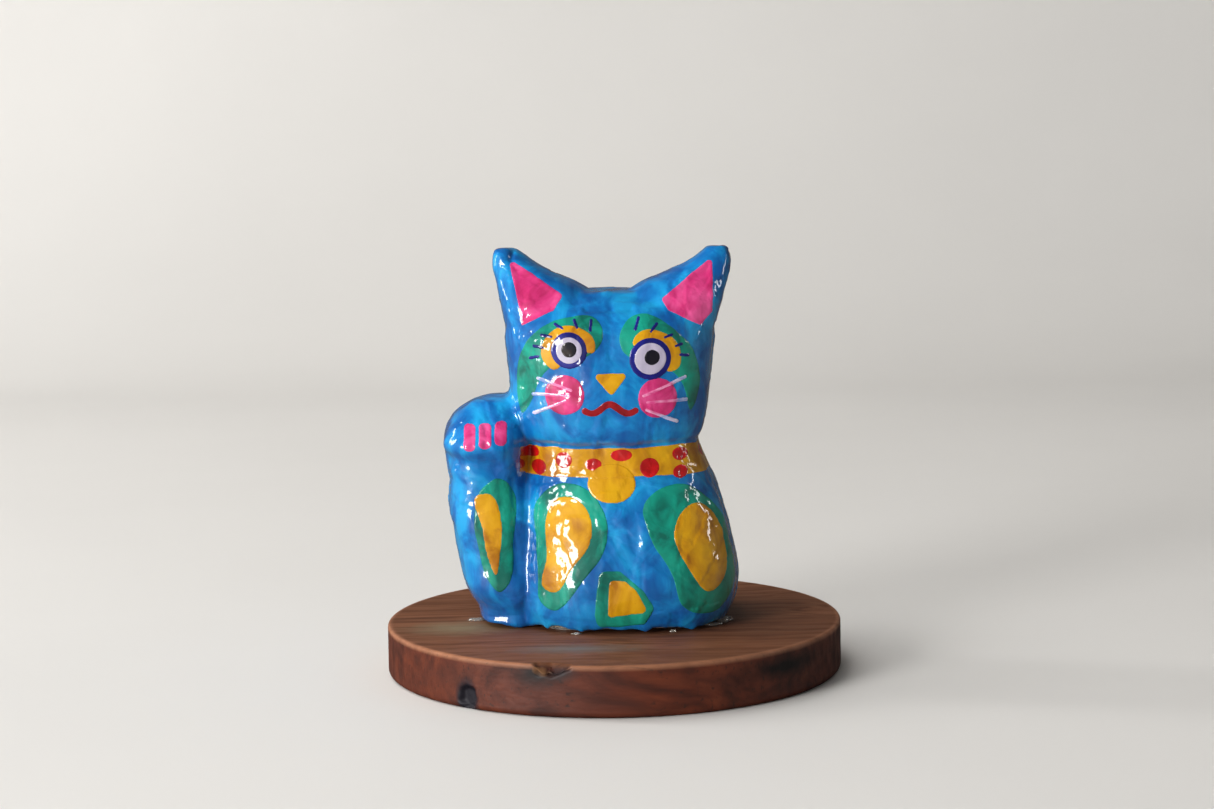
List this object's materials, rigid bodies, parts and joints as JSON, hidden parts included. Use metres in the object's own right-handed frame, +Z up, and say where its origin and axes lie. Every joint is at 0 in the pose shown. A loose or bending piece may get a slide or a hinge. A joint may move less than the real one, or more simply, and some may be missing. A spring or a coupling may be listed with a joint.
{
  "type": "alebrije figure",
  "caption": "Seated papier-mache cat with one raised paw, painted in a bright spotted alebrije style and varnished, glued on a round wooden coaster.",
  "frame": {"origin": "centre of the coaster's underside", "axes": "+Z up through the figure, the cat faces -Y, +X is the viewer's right when facing the cat"},
  "size_m": [0.1, 0.1, 0.0928],
  "materials": {
    "acacia_wood": "satin",
    "clear_glue": "gloss",
    "blue_papier_mache": "gloss",
    "greyboard": "matte",
    "newspaper_wad": "matte",
    "newspaper_roll": "matte",
    "masking_tape": "satin",
    "green_paint": "gloss",
    "ochre_paint": "gloss",
    "pink_paint": "gloss",
    "red_paint": "gloss",
    "navy_paint": "gloss",
    "lilac_white_paint": "gloss",
    "black_paint": "gloss"
  },
  "bodies": {
    "root": {"wooden_coaster": "acacia_wood", "glue_dabs": "clear_glue", "torso_skin": "blue_papier_mache", "head_skin": "blue_papier_mache", "raised_arm_skin": "blue_papier_mache", "right_ear_skin": "blue_papier_mache", "left_ear_skin": "blue_papier_mache", "tail_skin": "blue_papier_mache", "floor_card": "greyboard", "body_tube": "greyboard", "belly_wad": "newspaper_wad", "left_haunch_wad": "newspaper_wad", "right_haunch_wad": "newspaper_wad", "head_wad": "newspaper_wad", "paw_wad": "newspaper_wad", "neck_roll": "newspaper_roll", "arm_roll": "newspaper_roll", "tail_roll": "newspaper_roll", "waist_tape": "masking_tape", "head_tape": "masking_tape", "right_ear_card": "greyboard", "left_ear_card": "greyboard", "pupils": "black_paint", "eye_whites": "lilac_white_paint", "eye_rings": "navy_paint", "eyelashes": "navy_paint", "whiskers": "lilac_white_paint", "cheeks": "pink_paint", "eyelids": "ochre_paint", "eye_shadows": "green_paint", "nose": "ochre_paint", "mouth": "red_paint", "ear_pinks": "pink_paint", "claws": "pink_paint", "bell": "ochre_paint", "collar_dots": "red_paint", "collar": "ochre_paint", "spot_hearts": "ochre_paint", "spot_rims": "green_paint"}
  },
  "joints": []
}
